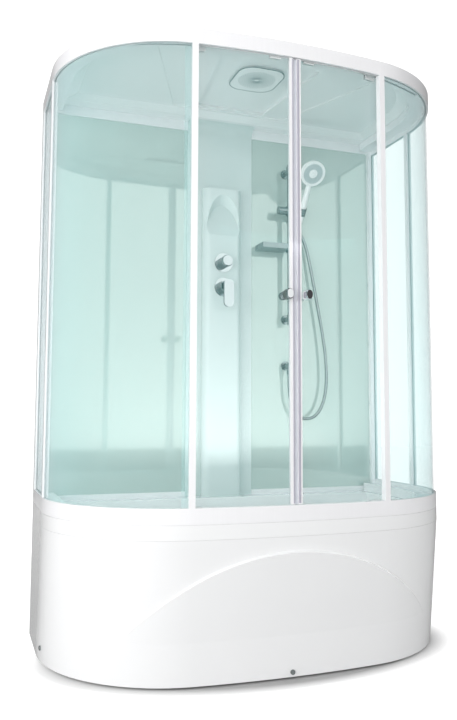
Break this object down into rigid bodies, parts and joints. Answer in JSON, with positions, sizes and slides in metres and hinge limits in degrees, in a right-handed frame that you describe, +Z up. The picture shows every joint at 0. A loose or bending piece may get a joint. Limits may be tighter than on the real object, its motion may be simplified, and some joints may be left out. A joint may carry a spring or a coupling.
{
  "type": "shower cabin",
  "caption": "Free-standing shower cabin with a bowed glass front, sliding doors, deep tray with apron, wall column, rain head and hand shower on a slide rail.",
  "frame": {"origin": "on the floor under the middle of the tray's width and depth", "axes": "+Z up, +X to the right seen from the front, +Y towards the wall behind"},
  "size_m": [1.5, 0.8526, 2.169],
  "materials": {
    "white_moulding": "gloss",
    "white_profile": "gloss",
    "white_plastic": "gloss",
    "clear_glass": "polished",
    "green_glass": "polished",
    "chrome": "polished",
    "frame_steel": "satin",
    "bolt_steel": "satin",
    "foot_rubber": "matt",
    "seal_strip": "satin",
    "roller_plastic": "satin",
    "drain_plastic": "satin",
    "spray_plastic": "satin",
    "hose_skin": "satin"
  },
  "bodies": {
    "cabin": {"shower_tray": "white_moulding", "front_apron": "white_moulding", "shower_column": "white_moulding", "roof": "white_moulding", "rain_head": "white_moulding", "lower_rail": "white_profile", "upper_rail": "white_profile", "panel_trims": "white_profile", "left_wall_post": "white_profile", "left_corner_post": "white_profile", "left_jamb": "white_profile", "right_wall_post": "white_profile", "right_corner_post": "white_profile", "right_jamb": "white_profile", "left_side_glass": "clear_glass", "left_corner_glass": "clear_glass", "right_side_glass": "clear_glass", "right_corner_glass": "clear_glass", "left_back_panel": "green_glass", "right_back_panel": "green_glass", "valve_plates": "chrome", "slide_rail": "chrome", "rail_brackets": "chrome", "outlet_elbow": "chrome", "tray_frame": "frame_steel", "apron_straps": "frame_steel", "foot_studs": "bolt_steel", "foot_nuts": "bolt_steel", "valve_body": "bolt_steel", "foot_pads": "foot_rubber", "drain_cup": "drain_plastic", "drain_outlet": "drain_plastic", "feed_pipes": "drain_plastic", "apron_screws": "white_plastic", "shower_hose": "hose_skin"},
    "left_door": {"left_door_glass": "clear_glass", "left_door_stile": "white_profile", "left_magnet_seal": "seal_strip", "left_door_hangers": "white_plastic", "left_door_guides": "roller_plastic", "left_door_knob": "chrome"},
    "left_lead_wheel": {"left_lead_roller": "roller_plastic"},
    "left_trail_wheel": {"left_trail_roller": "roller_plastic"},
    "right_door": {"right_door_glass": "clear_glass", "right_door_stile": "white_profile", "right_magnet_seal": "seal_strip", "right_door_hangers": "white_plastic", "right_door_guides": "roller_plastic", "right_door_knob": "chrome"},
    "right_lead_wheel": {"right_lead_roller": "roller_plastic"},
    "right_trail_wheel": {"right_trail_roller": "roller_plastic"},
    "diverter": {"diverter_knob": "chrome"},
    "mixer": {"mixer_hub": "chrome"},
    "lever": {"mixer_lever": "chrome"},
    "slider": {"rail_slider": "chrome"},
    "handset": {"handset_holder": "chrome", "hand_shower": "white_plastic", "spray_face": "spray_plastic"},
    "dish": {"soap_dish": "chrome"},
    "strainer": {"drain_strainer": "chrome"}
  },
  "joints": [
    {"name": "left_door_slide", "type": "hinge", "parent": "cabin", "child": "left_door", "pos_m": [0, 0.978, 1.29], "axis": [0, 0, -1], "range_deg": [0, 10.6]},
    {"name": "left_lead_roll", "type": "hinge", "parent": "left_door", "child": "left_lead_wheel", "pos_m": [-0.31659, -0.32818, 2.0673], "axis": [-0.2356, -0.9719, 0], "range_deg": [0, 1600]},
    {"name": "left_trail_roll", "type": "hinge", "parent": "left_door", "child": "left_trail_wheel", "pos_m": [-0.06172, -0.36458, 2.0673], "axis": [-0.0459, -0.9989, 0], "range_deg": [0, 1600]},
    {"name": "right_door_slide", "type": "hinge", "parent": "cabin", "child": "right_door", "pos_m": [0, 0.978, 1.29], "axis": [0, 0, 1], "range_deg": [0, 10.6]},
    {"name": "right_lead_roll", "type": "hinge", "parent": "right_door", "child": "right_lead_wheel", "pos_m": [0.31659, -0.32818, 2.0673], "axis": [-0.2356, 0.9719, 0], "range_deg": [0, 1600]},
    {"name": "right_trail_roll", "type": "hinge", "parent": "right_door", "child": "right_trail_wheel", "pos_m": [0.06172, -0.36458, 2.0673], "axis": [-0.0459, 0.9989, 0], "range_deg": [0, 1600]},
    {"name": "diverter_turn", "type": "hinge", "parent": "cabin", "child": "diverter", "pos_m": [0, 0.3, 1.472], "axis": [0, -1, 0], "range_deg": [-90, 90]},
    {"name": "mixer_turn", "type": "hinge", "parent": "cabin", "child": "mixer", "pos_m": [0, 0.3, 1.368], "axis": [0, -1, 0], "range_deg": [-50, 50]},
    {"name": "mixer_lift", "type": "hinge", "parent": "mixer", "child": "lever", "pos_m": [0, 0.2865, 1.368], "axis": [-1, 0, 0], "range_deg": [0, 20]},
    {"name": "slider_slide", "type": "slide", "parent": "cabin", "child": "slider", "axis": [0, 0, 1], "range_m": [-0.08, 0.12], "deforming": ["shower_hose"]},
    {"name": "holder_tilt", "type": "hinge", "parent": "slider", "child": "handset", "pos_m": [0.366, 0.315, 1.722], "axis": [1, 0, 0], "range_deg": [-20, 25], "deforming": ["shower_hose"]},
    {"name": "dish_slide", "type": "slide", "parent": "cabin", "child": "dish", "axis": [0, 0, 1], "range_m": [-0.2, 0.02]},
    {"name": "strainer_lift", "type": "slide", "parent": "cabin", "child": "strainer", "axis": [0, 0, 1], "range_m": [0, 0.05]}
  ],
  "couplings": [
    {"joint": "left_lead_roll", "follows": "left_door_slide", "ratio": 149.33},
    {"joint": "left_trail_roll", "follows": "left_door_slide", "ratio": 149.33},
    {"joint": "right_lead_roll", "follows": "right_door_slide", "ratio": 149.33},
    {"joint": "right_trail_roll", "follows": "right_door_slide", "ratio": 149.33}
  ]
}
